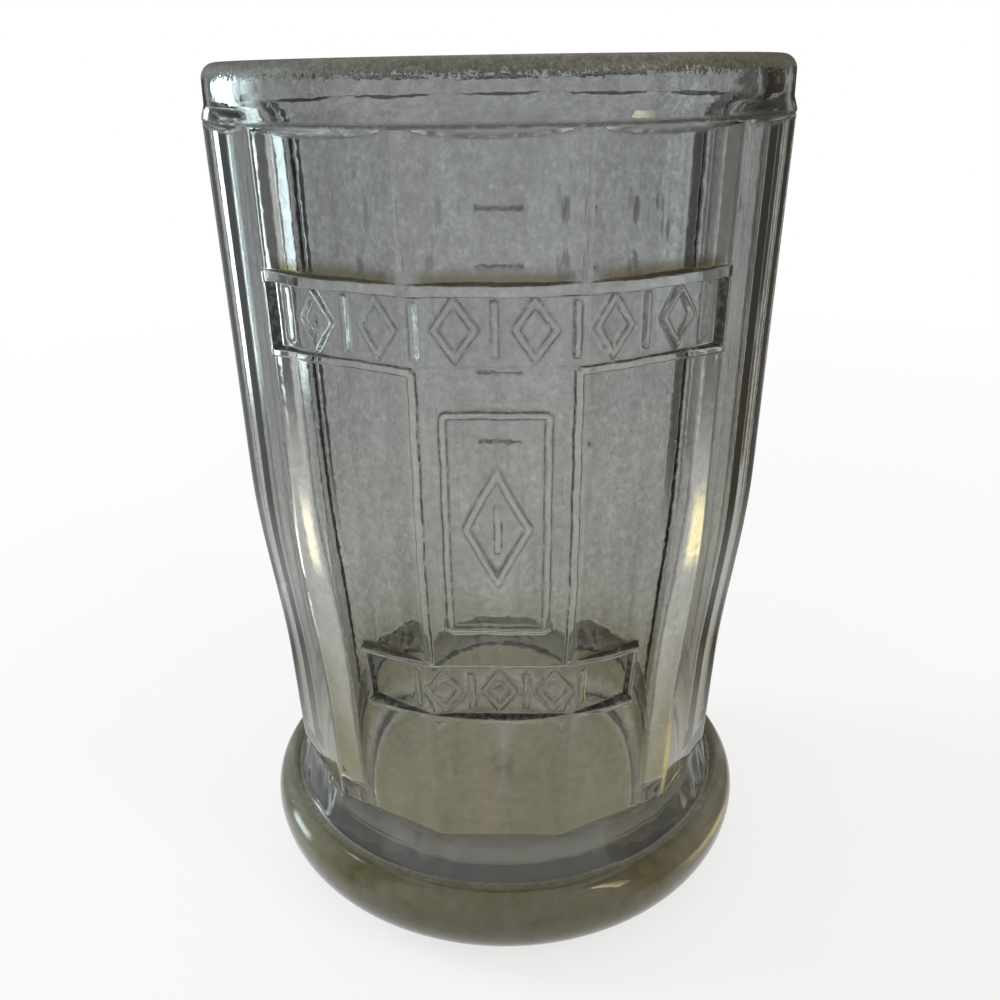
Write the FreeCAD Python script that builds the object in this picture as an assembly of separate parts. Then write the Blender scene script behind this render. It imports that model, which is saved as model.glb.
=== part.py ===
import FreeCAD, Part
import math
import os

# Jar of a hand-cranked kitchen mixer: one piece of pressed glass with twelve flat panels,
# a plain collar at the mouth, a waisted body, a thick round foot and a frame of low ribs
# on the three front panels.
# Millimetres. The origin is the middle of the resting ring, +Z is up and the front panel
# faces -Y.

# Whole jar
JAR_HEIGHT = 172.0
WALL = 5.6                      # glass between the cavity and the edges between the panels

# Collar at the mouth
COLLAR_RADIUS = 54.4
COLLAR_HEIGHT = 9.5             # from the rim down to the collar's lower edge
COLLAR_EDGE_RADIUS = 55.1
COLLAR_FLARE = 2.8              # height over which the collar widens to its lower edge
COLLAR_UNDERCUT = 37.0          # slope of the collar's underside, degrees
RIM_ROUND = 2.8                 # outer rounding of the rim
MOUTH_ROUND = 1.6               # inner rounding of the rim
RIM_BEVEL_COUNT = 2             # bevels that make up each rounding of the rim

# Panelled body
PANEL_COUNT = 12
LAND_WIDTH = 1.2                # rounded edge left between two flats
BODY_TOP_RADIUS = 55.0
WAIST_TOP_RADIUS = 53.2
WAIST_TOP_HEIGHT = 94.7
WAIST_BOTTOM_RADIUS = 48.8
WAIST_BOTTOM_HEIGHT = 50.3
PANEL_BOTTOM_RADIUS = 47.6
PANEL_BOTTOM_HEIGHT = 28.0

# Foot
FOOT_RADIUS = 54.8
FOOT_WIDEST_HEIGHT = 12.7
FOOT_CREASE_RADIUS = 49.2
FOOT_CREASE_HEIGHT = 18.7
FOOT_BEVEL_COUNT = 5            # bevels that make up the bulge's upper rounding
FOOT_BEVEL = 45.0               # slope of the bevel between the foot's bulge and its resting ring
NECK_INSET = 0.3                # the neck lies this far inside the flats of the panels
RESTING_WIDTH = 5.0
KICK_UP = 3.0                   # recess under the floor
KICK_UP_SLOPE = 4.0             # width of the slope from the resting ring to the recess

# Cavity
FLOOR_THICKNESS = 10.0
CORNER_ROUND = 10.0
CORNER_BEVEL_COUNT = 4          # bevels that make up the rounding between wall and floor
VALVE_MARK_RADIUS = 9.0         # shallow cone pressed into the floor
VALVE_MARK_DEPTH = 0.8

# Frame of raised ribs
RIB_WIDTH = 1.3
RIB_HEIGHT = 0.45
HEAD_RIB_WIDTH = 2.0
RIB_PROUD = 0.2                 # how far a round rib stands over the edges of the panels
HEAD_TOP = 140.0
HEAD_HEIGHT = 14.6
HEAD_PANELS = 3                 # panels that the head spans
BASE_TOP = 71.0
BASE_HEIGHT = 13.8
BASE_HALF_ANGLE = 31.0
COLUMN_HALF_ANGLE = 14.3

# Extra length that makes two solids overlap before they are joined
OVERLAP = 2.0

panel_angle = 360.0 / PANEL_COUNT
body_top = JAR_HEIGHT - COLLAR_HEIGHT
land_half_angle = LAND_WIDTH / (2 * BODY_TOP_RADIUS)
flat_share = math.cos(math.radians(panel_angle / 2) - land_half_angle)
front = -90.0
far = 2 * max(FOOT_RADIUS, COLLAR_EDGE_RADIUS)


def point(radius, height):
    return FreeCAD.Vector(radius, 0, height)


def line(start, end):
    return Part.LineSegment(start, end).toShape()


def arc(start, middle, end):
    return Part.Arc(start, middle, end).toShape()


def bevelled_quarter(side, crest, steps):
    """Chords of the quarter ellipse from an upright side to a level crest."""
    points = []
    for index in range(steps + 1):
        turn = math.radians(90.0 * index / steps)
        points.append(point(
            crest.x + (side.x - crest.x) * math.cos(turn),
            side.z + (crest.z - side.z) * math.sin(turn),
        ))
    return [line(start, end) for start, end in zip(points, points[1:])]


def revolve(edges):
    face = Part.Face(Part.Wire(edges))
    return face.revolve(FreeCAD.Vector(0, 0, 0), FreeCAD.Vector(0, 0, 1), 360)


def side_edges(offset, share, low, high):
    """Edges up the side of the body: a straight foot, an S-shaped waist, a straight top.

    offset is added to every radius, share scales it, and low and high are the end heights.
    """
    def on_side(radius, height):
        return point(share * (radius + offset), height)

    foot_slope = (WAIST_BOTTOM_RADIUS - PANEL_BOTTOM_RADIUS) / (WAIST_BOTTOM_HEIGHT - PANEL_BOTTOM_HEIGHT)
    top_slope = (BODY_TOP_RADIUS - WAIST_TOP_RADIUS) / (body_top - WAIST_TOP_HEIGHT)
    handle = (WAIST_TOP_HEIGHT - WAIST_BOTTOM_HEIGHT) / 3

    waist = Part.BezierCurve()
    waist.setPoles([
        on_side(WAIST_BOTTOM_RADIUS, WAIST_BOTTOM_HEIGHT),
        on_side(WAIST_BOTTOM_RADIUS + foot_slope * handle, WAIST_BOTTOM_HEIGHT + handle),
        on_side(WAIST_TOP_RADIUS - top_slope * handle, WAIST_TOP_HEIGHT - handle),
        on_side(WAIST_TOP_RADIUS, WAIST_TOP_HEIGHT),
    ])
    bottom = on_side(PANEL_BOTTOM_RADIUS + foot_slope * (low - PANEL_BOTTOM_HEIGHT), low)
    top = on_side(BODY_TOP_RADIUS + top_slope * (high - body_top), high)
    return [
        line(bottom, waist.StartPoint),
        waist.toShape(),
        line(waist.EndPoint, top),
    ]


def close_to_axis(edges):
    """The edges joined to the axis by a level line at each end."""
    start = edges[0].Vertexes[0].Point
    end = edges[-1].Vertexes[-1].Point
    axis_start = point(0, start.z)
    axis_end = point(0, end.z)
    return [line(axis_start, start)] + edges + [line(end, axis_end), line(axis_end, axis_start)]


def round_body(offset):
    return revolve(close_to_axis(side_edges(offset, 1, PANEL_BOTTOM_HEIGHT, body_top)))


def panelled_body(offset):
    """The round body cut down to the flat panels, which follow its side from foot to top."""
    outline = close_to_axis(side_edges(offset, flat_share, PANEL_BOTTOM_HEIGHT, body_top))
    slab_half = Part.Face(Part.Wire(outline)).extrude(FreeCAD.Vector(0, 2 * far, 0))
    slab_half.translate(FreeCAD.Vector(0, -far, 0))
    mirrored = slab_half.mirror(FreeCAD.Vector(0, 0, 0), FreeCAD.Vector(1, 0, 0))
    slab = slab_half.fuse(mirrored).removeSplitter()
    body = round_body(offset)
    for index in range(PANEL_COUNT // 2):
        turned = slab.copy()
        turned.rotate(FreeCAD.Vector(0, 0, 0), FreeCAD.Vector(0, 0, 1), front + index * panel_angle)
        body = body.common(turned)
    return body


def collar():
    """The ring round the mouth, with a sloping underside that scallops the panels' tops."""
    drop = 2 * OVERLAP
    lower = body_top - drop
    inner = COLLAR_EDGE_RADIUS - drop / math.tan(math.radians(COLLAR_UNDERCUT))
    side = point(COLLAR_RADIUS, JAR_HEIGHT - RIM_ROUND)
    crest = point(COLLAR_RADIUS - RIM_ROUND, JAR_HEIGHT)
    edges = [
        line(point(0, lower), point(inner, lower)),
        line(point(inner, lower), point(COLLAR_EDGE_RADIUS, body_top)),
        line(point(COLLAR_EDGE_RADIUS, body_top), point(COLLAR_RADIUS, body_top + COLLAR_FLARE)),
        line(point(COLLAR_RADIUS, body_top + COLLAR_FLARE), side),
    ]
    edges += bevelled_quarter(side, crest, RIM_BEVEL_COUNT)
    edges += [
        line(crest, point(0, JAR_HEIGHT)),
        line(point(0, JAR_HEIGHT), point(0, lower)),
    ]
    return revolve(edges)


def foot():
    """The resting ring, its bevel, the round bulge of the foot and the neck under the panels."""
    neck_radius = flat_share * PANEL_BOTTOM_RADIUS - NECK_INSET
    slope = math.radians(FOOT_BEVEL)
    bevel_top = point(
        FOOT_RADIUS - FOOT_WIDEST_HEIGHT * (1 - math.sin(slope)),
        FOOT_WIDEST_HEIGHT * (1 - math.cos(slope)),
    )
    resting_radius = bevel_top.x - bevel_top.z / math.tan(slope)
    resting_inner = resting_radius - RESTING_WIDTH
    recess_radius = resting_inner - KICK_UP_SLOPE
    neck_top = PANEL_BOTTOM_HEIGHT + OVERLAP

    under_turn = (math.pi / 2 - slope) / 2
    under_middle = point(
        FOOT_RADIUS - FOOT_WIDEST_HEIGHT * (1 - math.cos(under_turn)),
        FOOT_WIDEST_HEIGHT * (1 - math.sin(under_turn)),
    )

    widest = point(FOOT_RADIUS, FOOT_WIDEST_HEIGHT)
    crease = point(FOOT_CREASE_RADIUS, FOOT_CREASE_HEIGHT)
    neck = point(neck_radius, PANEL_BOTTOM_HEIGHT)
    edges = [
        line(point(0, KICK_UP), point(recess_radius, KICK_UP)),
        line(point(recess_radius, KICK_UP), point(resting_inner, 0)),
        line(point(resting_inner, 0), point(resting_radius, 0)),
        line(point(resting_radius, 0), bevel_top),
        arc(bevel_top, under_middle, widest),
    ]
    edges += bevelled_quarter(widest, crease, FOOT_BEVEL_COUNT)
    edges += [
        line(crease, neck),
        line(neck, point(neck_radius, neck_top)),
        line(point(neck_radius, neck_top), point(0, neck_top)),
        line(point(0, neck_top), point(0, KICK_UP)),
    ]
    return revolve(edges)


def cavity():
    """The smooth round inside, with a shallow mark in its floor and a bevelled mouth."""
    floor = KICK_UP + FLOOR_THICKNESS
    side = side_edges(-WALL, 1, floor + CORNER_ROUND, JAR_HEIGHT - MOUTH_ROUND)
    corner_top = side[0].Vertexes[0].Point
    mouth = side[-1].Vertexes[-1].Point
    floor_edge = point(corner_top.x - CORNER_ROUND, floor)
    mark_edge = point(VALVE_MARK_RADIUS, floor)
    mark_center = point(0, floor - VALVE_MARK_DEPTH)
    lip = point(mouth.x + MOUTH_ROUND, JAR_HEIGHT)
    above = point(lip.x, JAR_HEIGHT + OVERLAP)
    edges = [
        line(mark_center, mark_edge),
        line(mark_edge, floor_edge),
    ]
    corner = bevelled_quarter(corner_top, floor_edge, CORNER_BEVEL_COUNT)
    edges += reversed(corner)
    edges += side
    edges += bevelled_quarter(mouth, lip, RIM_BEVEL_COUNT)
    edges += [
        line(lip, above),
        line(above, point(0, above.z)),
        line(point(0, above.z), mark_center),
    ]
    return revolve(edges)


def sector(low, high, from_angle, to_angle):
    """Wedge about the axis between two heights and two angles from the front."""
    wedge = Part.makeCylinder(
        far, high - low, point(0, low), FreeCAD.Vector(0, 0, 1), to_angle - from_angle
    )
    wedge.rotate(FreeCAD.Vector(0, 0, 0), FreeCAD.Vector(0, 0, 1), front + from_angle)
    return wedge


def upright(low, high, angle):
    """Thin radial plate for a rib that runs up the body at one angle from the front."""
    plate = Part.makeBox(far, RIB_WIDTH, high - low, FreeCAD.Vector(0, -RIB_WIDTH / 2, low))
    plate.rotate(FreeCAD.Vector(0, 0, 0), FreeCAD.Vector(0, 0, 1), front + angle)
    return plate


def frame_ribs():
    """Raised outline of a wide head, a narrow column and a base across the front panels."""
    head_half_angle = HEAD_PANELS * panel_angle / 2
    head_bottom = HEAD_TOP - HEAD_HEIGHT
    base_bottom = BASE_TOP - BASE_HEIGHT

    round_cuts = [
        sector(HEAD_TOP - HEAD_RIB_WIDTH, HEAD_TOP, -head_half_angle, head_half_angle),
        sector(base_bottom, base_bottom + RIB_WIDTH, -BASE_HALF_ANGLE, BASE_HALF_ANGLE),
    ]
    flat_cuts = []
    for side in (-1, 1):
        base_span = sorted((side * COLUMN_HALF_ANGLE, side * BASE_HALF_ANGLE))
        head_span = sorted((side * COLUMN_HALF_ANGLE, side * head_half_angle))
        round_cuts.append(sector(BASE_TOP - RIB_WIDTH, BASE_TOP, *base_span))
        flat_cuts.append(sector(head_bottom, head_bottom + RIB_WIDTH, *head_span))
        flat_cuts.append(upright(head_bottom, HEAD_TOP, side * head_half_angle))
        flat_cuts.append(upright(BASE_TOP - RIB_WIDTH, head_bottom + RIB_WIDTH, side * COLUMN_HALF_ANGLE))
        flat_cuts.append(upright(base_bottom, BASE_TOP, side * BASE_HALF_ANGLE))

    round_ribs = round_cuts[0].multiFuse(round_cuts[1:]).common(round_body(RIB_PROUD))
    flat_ribs = flat_cuts[0].multiFuse(flat_cuts[1:]).common(panelled_body(RIB_HEIGHT))
    return [round_ribs, flat_ribs]


def glass_jar():
    outside = panelled_body(0).multiFuse([collar(), foot()] + frame_ribs())
    return outside.cut(cavity()).removeSplitter()


os.makedirs("parts", exist_ok=True)
glass_jar().exportStep("parts/glass_jar.step")
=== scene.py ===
import math

import bpy
import numpy as np
from mathutils import Matrix, Vector


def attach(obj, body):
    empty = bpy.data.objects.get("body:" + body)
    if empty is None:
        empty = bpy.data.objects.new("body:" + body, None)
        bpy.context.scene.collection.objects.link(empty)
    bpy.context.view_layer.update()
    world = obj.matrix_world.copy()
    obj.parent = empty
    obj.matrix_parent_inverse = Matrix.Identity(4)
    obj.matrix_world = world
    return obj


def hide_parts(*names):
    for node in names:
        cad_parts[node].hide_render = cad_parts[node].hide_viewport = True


# The jar's looks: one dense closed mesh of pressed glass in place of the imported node, its material,
# and a plain pale studio. Shapes are worked out in millimetres and turned into metres when the mesh
# is made; materials and the studio are in metres. Azimuths are taken from the front panel (-Y),
# positive towards +X. They are radians unless a name or a comment says degrees.

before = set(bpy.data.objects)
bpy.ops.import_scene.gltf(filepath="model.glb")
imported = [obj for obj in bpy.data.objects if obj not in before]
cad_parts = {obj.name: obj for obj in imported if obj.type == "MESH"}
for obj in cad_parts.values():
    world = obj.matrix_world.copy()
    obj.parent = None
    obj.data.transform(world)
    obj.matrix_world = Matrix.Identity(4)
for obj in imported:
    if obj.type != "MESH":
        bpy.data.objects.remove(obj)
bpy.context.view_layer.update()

MM = 0.001
TURN = 2 * math.pi

# ---------------------------------------------------------------- sizes shared with the frame, mm
HEIGHT = 172.0
WALL = 5.6                      # glass between the cavity and the edges between the panels

COLLAR_R = 54.4
COLLAR_EDGE_R = 55.1            # lower edge, flared
COLLAR_FLARE = 2.8              # height over which the collar widens to its lower edge
UNDERCUT = math.radians(37.0)   # slope of the collar's underside
RIM_ROUND = 2.8
MOUTH_ROUND = 1.6

BODY_TOP_R = 55.0
BODY_TOP = 162.5
WAIST_TOP = (53.2, 94.7)        # radius and height, as for the next two
WAIST_BOTTOM = (48.8, 50.3)
PANEL_BOTTOM = (47.6, 28.0)
PANEL_COUNT = 12
LAND_WIDTH = 1.2                # rounded land left between two flats

FOOT_R = 54.8
FOOT_WIDEST = 12.7              # height of the bulge's widest ring
FOOT_BEVEL_DEG = 45.0
CREASE = (49.2, 18.7)           # radius and height where the foot meets the neck
NECK_INSET = 0.3
RESTING_WIDTH = 5.0
KICK_UP = 3.0                   # hollow under the foot
KICK_UP_SLOPE = 4.0

CAVITY_FLOOR = 13.0
CORNER_ROUND = 10.0
MARK_R = 9.0                    # shallow mark in the cavity's floor
MARK_DEPTH = 0.8

# frame of ribs on the three front panels; half widths are in degrees
HEAD_TOP, HEAD_BOTTOM, HEAD_HALF = 140.0, 125.4, 45.0
BASE_TOP, BASE_BOTTOM, BASE_HALF = 71.0, 57.2, 31.0
COLUMN_HALF = 14.3
RIB_W = 1.3
RIB_H = 0.45
HEAD_RIB_W = 2.0
RIB_PROUD = 0.2                 # how far the round ribs pass the edges between the flats

# radii at which azimuths are turned into millimetres along the surface
HEAD_REF, BASE_REF, COLUMN_REF = 54.0, 50.5, 52.5
REF_MARGIN = 0.6
MEAN_R = 53.0                   # and the one for the slopes of the relief

PANEL_DEG = 360.0 / PANEL_COUNT
HALF_PANEL_DEG = PANEL_DEG / 2
PANEL_TURN = math.radians(PANEL_DEG)
FLAT_SHARE = math.cos(PANEL_TURN / 2 - LAND_WIDTH / (2 * BODY_TOP_R))

# ---------------------------------------------------------------- sizes of the fine detail, mm
FIELD_DEPTH = 0.15              # of the head and the base, between their ribs
FIELD_INSET_DEG = 0.7
HEAD_SINK = (1.0, 34.0, 44.0)   # further depth at the ends, and the degrees over which it comes
BASE_SINK = (0.5, 20.0, 30.5)

ORNAMENT_H = 0.55
ORNAMENT_SOFT = 0.4
ORNAMENT_CORNER = 0.3
ROW_INSET_DEG = 1.0
HEAD_ROW = {"middle": 132.7, "pitch": 13.0, "count": 6, "half_u": 3.3, "half_v": 4.6, "stroke": 1.2}
BASE_ROW = {"middle": 64.2, "pitch": 10.4, "count": 3, "half_u": 2.9, "half_v": 4.1, "stroke": 1.1}
WINDOW_MIDDLE, WINDOW_HALF_W, WINDOW_HALF_H = 98.4, 9.2, 20.9
WINDOW_STROKE = 1.2
WINDOW_SOFT = 0.35
WINDOW_LOZENGE = (5.4, 10.2)    # half width and half height
WINDOW_LOZENGE_STROKE = 1.3
WINDOW_BAR = (0.6, 4.5)
WINDOW_BAR_SOFT = 0.2

GRADUATIONS = (138.7, 124.5, 97.3, 78.3)    # heights of the dashes on the back
DASH_HALF_W, DASH_HALF_H = 10.5, 0.5
DASH_SOFT = 0.3
DASH_H = 0.3
DASH_END_DEG = (168.3, 169.1)   # columns to both sides of a dash's end

COLLAR_BLEND = 0.35             # softness of the line where the collar meets the flats
WAVE_COUNT = 14                 # sines in each of the uneven surfaces below
WAVE_R = 52.0                   # radius that their sizes are measured at
NECK_WAVES = ((5, 6.0, 0.26), (6, 14.0, 0.12))      # seed, size and amount
NECK_CUT = 0.2                  # keeps the rough neck inside the plain one
OUTSIDE_WAVES = (3, 26.0, 0.035)
OUTSIDE_WAVES_START, OUTSIDE_WAVES_END = (28.0, 34.0), (156.0, 161.0)   # heights where they fade
INSIDE_WAVES = (11, 30.0, 0.05)
INSIDE_WAVES_START, INSIDE_WAVES_END = (14.0, 30.0), (162.0, 170.0)


# ---------------------------------------------------------------- camera
# Fitted to the photograph's outline, the collar's lower edge and the edges between the panels.
CAMERA_PITCH, CAMERA_YAW, CAMERA_ROLL = 22.8604, -1.0131, -0.9552    # degrees
JAR_YAW = 0.9046                # degrees by which the jar is turned in the photograph
EYE_DISTANCE, EYE_HEIGHT = 0.20841, 0.169865
FRAME_PX, FOCAL_PX, CENTRE_PX = 1000.0, 1017.94, 485.06
SENSOR_WIDTH = 36.0


def make_camera():
    angles = (CAMERA_PITCH, CAMERA_YAW, CAMERA_ROLL, JAR_YAW)
    pitch, yaw, roll, turn = (math.radians(angle) for angle in angles)
    level = math.cos(pitch)
    forward = Vector((math.sin(yaw) * level, math.cos(yaw) * level, -math.sin(pitch)))
    right = Vector((math.cos(yaw), -math.sin(yaw), 0.0))
    up = right.cross(forward)
    across = math.cos(roll) * right + math.sin(roll) * up
    upward = -math.sin(roll) * right + math.cos(roll) * up
    eye = Vector((0.0, -EYE_DISTANCE, EYE_HEIGHT))
    pose = Matrix.Identity(4)
    for column, vector in enumerate((across, upward, -forward, eye)):
        for row in range(3):
            pose[row][column] = vector[row]
    data = bpy.data.cameras.new("camera")
    data.sensor_fit = "HORIZONTAL"
    data.sensor_width = SENSOR_WIDTH
    data.lens = SENSOR_WIDTH * FOCAL_PX / FRAME_PX
    data.shift_x = (FRAME_PX / 2 - CENTRE_PX) / FRAME_PX
    data.clip_start = 0.01
    data.clip_end = 50.0
    camera = add_object("camera", data)
    camera.matrix_world = Matrix.Rotation(turn, 4, "Z") @ pose
    bpy.context.scene.camera = camera


def add_object(name, data):
    thing = bpy.data.objects.new(name, data)
    bpy.context.scene.collection.objects.link(thing)
    return thing


# ---------------------------------------------------------------- shape helpers
def smoothstep(low, high, x):
    t = np.clip((x - low) / (high - low), 0.0, 1.0)
    return t * t * (3.0 - 2.0 * t)


def smooth_min(a, b, k):
    h = np.clip(0.5 + 0.5 * (b - a) / k, 0.0, 1.0)
    return b * (1 - h) + a * h - k * h * (1 - h)


def smooth_max(a, b, k):
    return -smooth_min(-a, -b, k)


def bump_at(value, middle, width):
    """1 at the middle, falling off on both sides like a bell."""
    return np.exp(-((value - middle) / width) ** 2)


def side_table():
    """Heights and radii up the edges between panels: straight, S-shaped waist, straight."""
    (r1, z1), (r0, z0), (rb, zb) = WAIST_TOP, WAIST_BOTTOM, PANEL_BOTTOM
    low_slope = (r0 - rb) / (z0 - zb)
    high_slope = (BODY_TOP_R - r1) / (BODY_TOP - z1)
    handle = (z1 - z0) / 3
    t = np.linspace(0.0, 1.0, 201)
    poles = (
        (r0, z0),
        (r0 + low_slope * handle, z0 + handle),
        (r1 - high_slope * handle, z1 - handle),
        (r1, z1),
    )
    weights = ((1 - t) ** 3, 3 * t * (1 - t) ** 2, 3 * t ** 2 * (1 - t), t ** 3)
    radius = sum(w * p[0] for w, p in zip(weights, poles))
    height = sum(w * p[1] for w, p in zip(weights, poles))
    lowest = rb - low_slope * zb
    highest = BODY_TOP_R + high_slope * (HEIGHT - BODY_TOP)
    return np.concatenate([[0.0], height, [HEIGHT]]), np.concatenate([[lowest], radius, [highest]])


SIDE_Z, SIDE_R = side_table()


def side(z):
    return np.interp(z, SIDE_Z, SIDE_R)


def panelled(az, z):
    """Radius of the bare panelled body."""
    local = (az + PANEL_TURN / 2) % PANEL_TURN - PANEL_TURN / 2
    edge = side(z)
    return smooth_min(FLAT_SHARE * edge / np.cos(local), edge, 0.10)


def stand_out(az, z):
    """How far the round ribs stand out from the flats."""
    return side(z) + RIB_PROUD - panelled(az, z)


def facing(az):
    """1 on the front half, 0 on the back half, with a soft change between them."""
    return smoothstep(-0.3, 0.3, np.cos(az))


# ---------------------------------------------------------------- relief
def ridge(distance, width, soft=0.16):
    """1 along a line, 0 beyond half its width, with a soft shoulder."""
    return 1.0 - smoothstep(width / 2 - soft, width / 2 + soft, np.abs(distance))


def inside(value, low, high, soft=0.25):
    begun = smoothstep(low - soft, low + soft, value)
    return begun * (1.0 - smoothstep(high - soft, high + soft, value))


def within(degrees, half, soft):
    return inside(degrees, -half, half, soft)


def lozenge(u, v, half_u, half_v):
    """Distance from the outline of a lozenge, negative inside."""
    scale = half_u * half_v / math.hypot(half_u, half_v)
    return (np.abs(u) / half_u + np.abs(v) / half_v - 1.0) * scale


def box_edge(u, v, half_u, half_v, corner):
    """Distance from the outline of a box with round corners, negative inside."""
    du = np.abs(u) - half_u + corner
    dv = np.abs(v) - half_v + corner
    outside = np.hypot(np.maximum(du, 0), np.maximum(dv, 0))
    return outside + np.minimum(np.maximum(du, dv), 0) - corner


def block(u, v, half_u, half_v, corner, soft):
    """1 inside a box with round corners, 0 outside."""
    return 1.0 - smoothstep(-soft, soft, box_edge(u, v, half_u, half_v, corner))


def motif_row(u, z, middle, pitch, count, half_u, half_v, stroke):
    """Outline lozenges in a row, with an upright bar between each two and one at each end."""
    v = z - middle
    height = np.zeros_like(u)
    first = -pitch * (count - 1) / 2
    for index in range(count):
        centre = first + index * pitch
        outline = ridge(lozenge(u - centre, v, half_u, half_v), stroke, ORNAMENT_SOFT)
        height = np.maximum(height, outline)
    for index in range(count + 1):
        centre = first + (index - 0.5) * pitch
        bar = block(u - centre, v, stroke / 2, half_v, ORNAMENT_CORNER, ORNAMENT_SOFT)
        height = np.maximum(height, bar)
    return height


def window_motif(along, z):
    """Upright frame in the column, with a lozenge and a short bar in it."""
    v = z - WINDOW_MIDDLE
    outline = box_edge(along, v, WINDOW_HALF_W, WINDOW_HALF_H, WINDOW_STROKE)
    height = ridge(outline + WINDOW_STROKE / 2, WINDOW_STROKE, WINDOW_SOFT)
    diamond = ridge(lozenge(along, v, *WINDOW_LOZENGE), WINDOW_LOZENGE_STROKE, ORNAMENT_SOFT)
    bar = block(along, v, *WINDOW_BAR, ORNAMENT_CORNER, WINDOW_BAR_SOFT)
    in_column = (z > BASE_TOP + 1.0) & (z < HEAD_BOTTOM - 1.0)
    return np.where(in_column, np.maximum(np.maximum(height, diamond), bar), 0.0)


def reference(z):
    """Radius at which azimuths are turned into millimetres along the surface."""
    low = np.where(z > BASE_TOP + REF_MARGIN, COLUMN_REF, BASE_REF)
    return np.where(z > HEAD_BOTTOM - REF_MARGIN, HEAD_REF, low)


def sunk_field(degrees, z, bottom, top, half, sink):
    """Depth of the field between the ribs of the head or the base, sunk towards its ends."""
    depth, start, end = sink
    field = inside(z, bottom, top) * within(degrees, half - FIELD_INSET_DEG, 0.3)
    return field * (FIELD_DEPTH + depth * smoothstep(start, end, np.abs(degrees)))


def flat_ribs(along, degrees, reach, z):
    """Ribs that follow the flats: the upright ones and the head's lower one."""
    uprights = (
        (COLUMN_HALF, BASE_TOP - RIB_W / 2, HEAD_BOTTOM + RIB_W / 2),
        (HEAD_HALF, HEAD_BOTTOM, HEAD_TOP),
        (BASE_HALF, BASE_BOTTOM, BASE_TOP),
    )
    lower = ridge(z - (HEAD_BOTTOM + RIB_W / 2), RIB_W)
    ribs = lower * inside(np.abs(degrees), COLUMN_HALF, HEAD_HALF, 0.4)
    for half, low, high in uprights:
        upright = ridge(np.abs(along) - math.radians(half) * reach, RIB_W)
        ribs = np.maximum(ribs, upright * inside(z, low, high))
    return ribs


def round_ribs(degrees, z):
    """Ribs of constant radius, which stand over the middle of each flat."""
    top = ridge(z - (HEAD_TOP - HEAD_RIB_W / 2), HEAD_RIB_W) * within(degrees, HEAD_HALF, 0.4)
    low = ridge(z - (BASE_BOTTOM + RIB_W / 2), RIB_W) * within(degrees, BASE_HALF, 0.4)
    shoulder = ridge(z - (BASE_TOP - RIB_W / 2), RIB_W)
    shoulder = shoulder * inside(np.abs(degrees), COLUMN_HALF, BASE_HALF, 0.4)
    return np.maximum(np.maximum(top, low), shoulder)


def relief(az, z):
    """Height of the pressed detail over the bare panelled body."""
    degrees = np.degrees(az)
    reach = reference(z)
    stand = stand_out(az, z)
    # the mould's lines aren't quite straight
    along = az * reach + 0.07 * np.sin(z * 0.55 + 1.3) + 0.04 * np.sin(z * 1.7)
    z = z + 0.06 * np.sin(az * 19.0) + 0.04 * np.sin(az * 47.0 + 0.6)

    head = (HEAD_BOTTOM + RIB_W, HEAD_TOP - HEAD_RIB_W, HEAD_HALF, HEAD_SINK)
    base = (BASE_BOTTOM + RIB_W, BASE_TOP - RIB_W, BASE_HALF, BASE_SINK)
    sunk = sunk_field(degrees, z, *head) + sunk_field(degrees, z, *base)
    head_row = motif_row(along, z, **HEAD_ROW) * within(degrees, HEAD_HALF - ROW_INSET_DEG, 0.25)
    base_row = motif_row(along, z, **BASE_ROW) * within(degrees, BASE_HALF - ROW_INSET_DEG, 0.25)
    ornament = np.maximum(np.maximum(head_row, base_row), window_motif(along, z))
    raised = np.maximum(RIB_H * flat_ribs(along, degrees, reach, z), ORNAMENT_H * ornament)
    round_rib = round_ribs(degrees, z)
    return (raised - sunk) * (1 - round_rib) + round_rib * stand + DASH_H * dashes(az, z)


def dashes(az, z):
    """Graduation dashes on the back of the wall."""
    back = ((az % TURN) - math.pi) * reference(z)
    size = (DASH_HALF_W, DASH_HALF_H, DASH_SOFT, DASH_SOFT)
    return np.max([block(back, z - height, *size) for height in GRADUATIONS], axis=0)


def grime(az, z):
    """Dark lines that dim the glass along the steep flanks of the relief, partly dirt and partly
    painted shade, and in the dashes.
    """
    step = 0.12
    turn = step / MEAN_R
    steepest = 1.2
    across = (relief(az + turn, z) - relief(az - turn, z)) / (2 * step)
    upward = (relief(az, z + step) - relief(az, z - step)) / (2 * step)
    mark = np.clip(np.hypot(across, upward) / steepest, 0.0, 1.0)
    return np.maximum(mark, dashes(az, z))


def ledge(az, z):
    """Brown dirt and painted shade on the upper ribs where they stand out furthest, thinning out
    above them.
    """
    degrees = np.abs(np.degrees(az))
    on_head = (z > HEAD_TOP - 0.3) & (degrees < HEAD_HALF)
    on_base = (z > BASE_TOP - 0.2) & (degrees < BASE_HALF) & (degrees > COLUMN_HALF)
    head = np.where(on_head, 1 - smoothstep(0.5, 3.2, z - HEAD_TOP), 0.0)
    base = np.where(on_base, bump_at(z, BASE_TOP, 0.9), 0.0)
    return smoothstep(0.10, 0.9, stand_out(az, z)) * np.maximum(head, base)


def waves(az, z, seed, size, amount):
    """Slow unevenness of hand-finished pressed glass, the same on every run."""
    rng = np.random.RandomState(seed)
    girth = TURN * WAVE_R
    total = np.zeros_like(az)
    for _ in range(WAVE_COUNT):
        turns = rng.randint(1, int(girth / size))
        rise = rng.uniform(-1.0, 1.0) * TURN / size * 0.45
        total += np.sin(turns * az + rise * z + rng.uniform(0, TURN)) * rng.uniform(0.4, 1.0)
    return total * amount / WAVE_COUNT ** 0.5


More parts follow.
